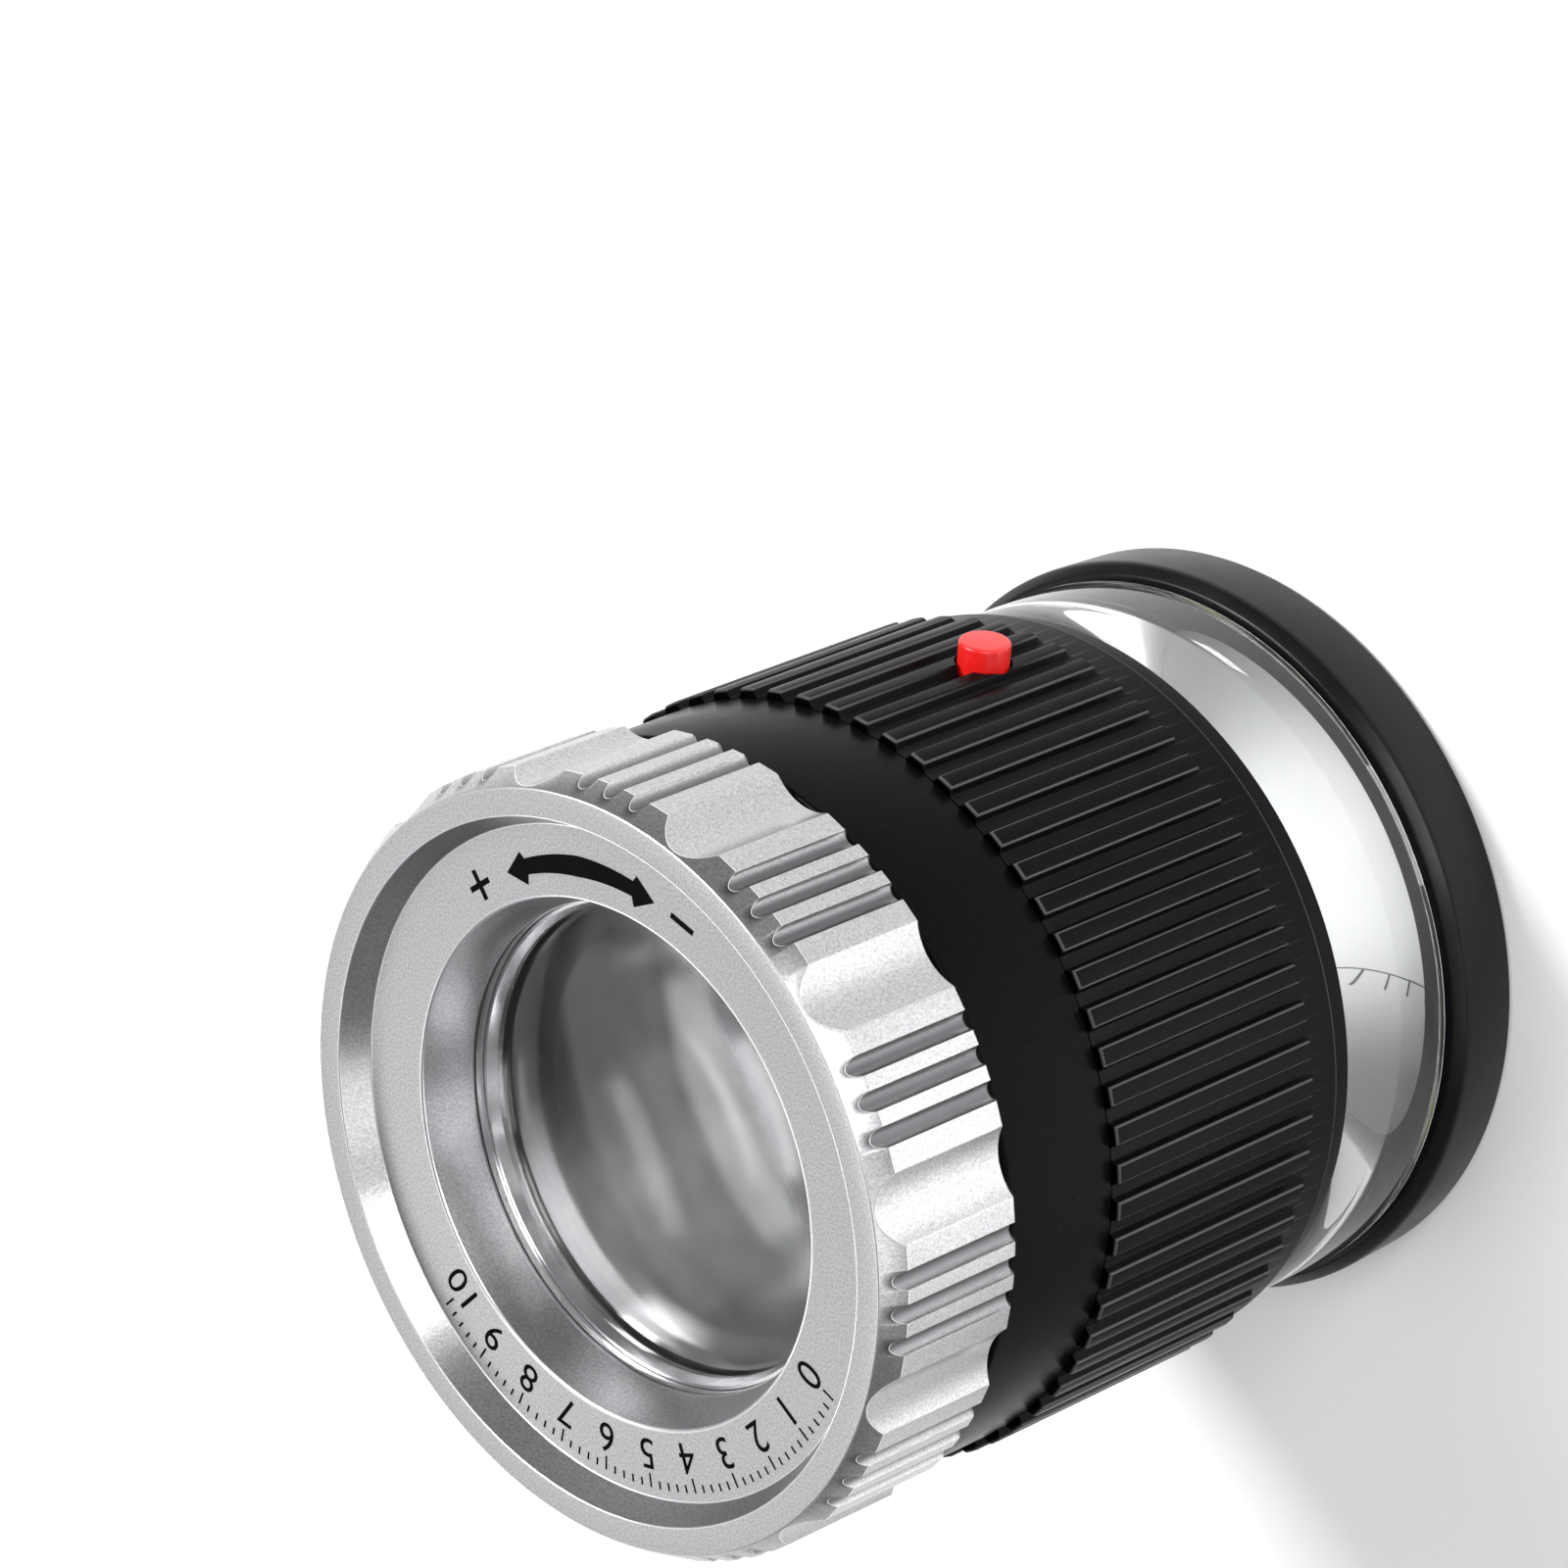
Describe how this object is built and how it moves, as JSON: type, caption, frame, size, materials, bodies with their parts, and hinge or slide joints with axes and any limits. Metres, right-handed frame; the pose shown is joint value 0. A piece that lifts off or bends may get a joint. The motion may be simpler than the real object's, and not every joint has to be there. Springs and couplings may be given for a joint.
{
  "type": "illuminated measuring loupe",
  "caption": "Stand loupe with a screw-focus eyepiece, a ribbed battery housing with a push-button light, and a clear skirt over a glass scale.",
  "frame": {"origin": "centre of the base's flat underside, on the optical axis", "axes": "+Z along the optical axis toward the eyepiece, -Y toward the light button"},
  "size_m": [0.0482, 0.0495, 0.0552],
  "materials": {
    "satin_silver": "fine sand-blasted satin silver",
    "black_housing": "moulded, low sheen",
    "black_collar": "smooth satin black",
    "black_base": "smooth satin black",
    "clear_acrylic": "polished clear acrylic",
    "lens_glass": "polished and coated",
    "reticle_glass": "polished flat",
    "red_plastic": "moulded, soft gloss",
    "black_metal": "matt black inside the light path",
    "bright_metal": "turned and polished",
    "steel": "zinc plated",
    "brass": "plain turned brass",
    "board": "white solder mask",
    "led_body": "white body with yellow phosphor",
    "chip": "surface-mount resistor",
    "holder_plastic": "moulded",
    "cell_steel": "nickel plated",
    "rubber": "nitrile ring"
  },
  "bodies": {
    "body": {"base_ring": "black_base", "reticle_disc": "reticle_glass", "reticle_retainer": "black_metal", "clear_skirt": "clear_acrylic", "ribbed_housing": "black_housing", "light_board": "board", "leds": "led_body", "board_chips": "chip", "board_screws": "steel", "battery_holder": "holder_plastic", "battery_cell_1": "cell_steel", "battery_cell_2": "cell_steel", "battery_cell_3": "cell_steel", "battery_contacts": "brass", "switch_body": "holder_plastic", "switch_pins": "steel", "button_spring": "steel", "guide_sleeve": "brass", "collar": "black_collar"},
    "carriage": {"lens_tube": "bright_metal", "guide_pins": "brass", "snap_ring": "steel", "flint_lens": "lens_glass", "crown_lens": "lens_glass", "lens_spacer": "bright_metal", "eye_lens": "lens_glass", "eye_lens_retainer": "bright_metal"},
    "eyepiece": {"focus_ring": "satin_silver", "focus_barrel": "brass", "friction_ring": "rubber"},
    "button": {"light_button": "red_plastic"}
  },
  "joints": [
    {"name": "focus_lift", "type": "slide", "parent": "body", "child": "carriage", "axis": [0, 0, 1], "range_m": [0, 0.005]},
    {"name": "focus_turn", "type": "hinge", "parent": "carriage", "child": "eyepiece", "pos_m": [0, 0, 0.05], "axis": [0, 0, 1], "range_deg": [0, 300]},
    {"name": "light_press", "type": "slide", "parent": "body", "child": "button", "axis": [0, 1, 0], "range_m": [0, 0.001], "stiffness_N_per_m": 600, "deforming": ["button_spring"]}
  ],
  "couplings": [
    {"joint": "focus_lift", "follows": "focus_turn", "m_per_rad": 0.00095493}
  ]
}
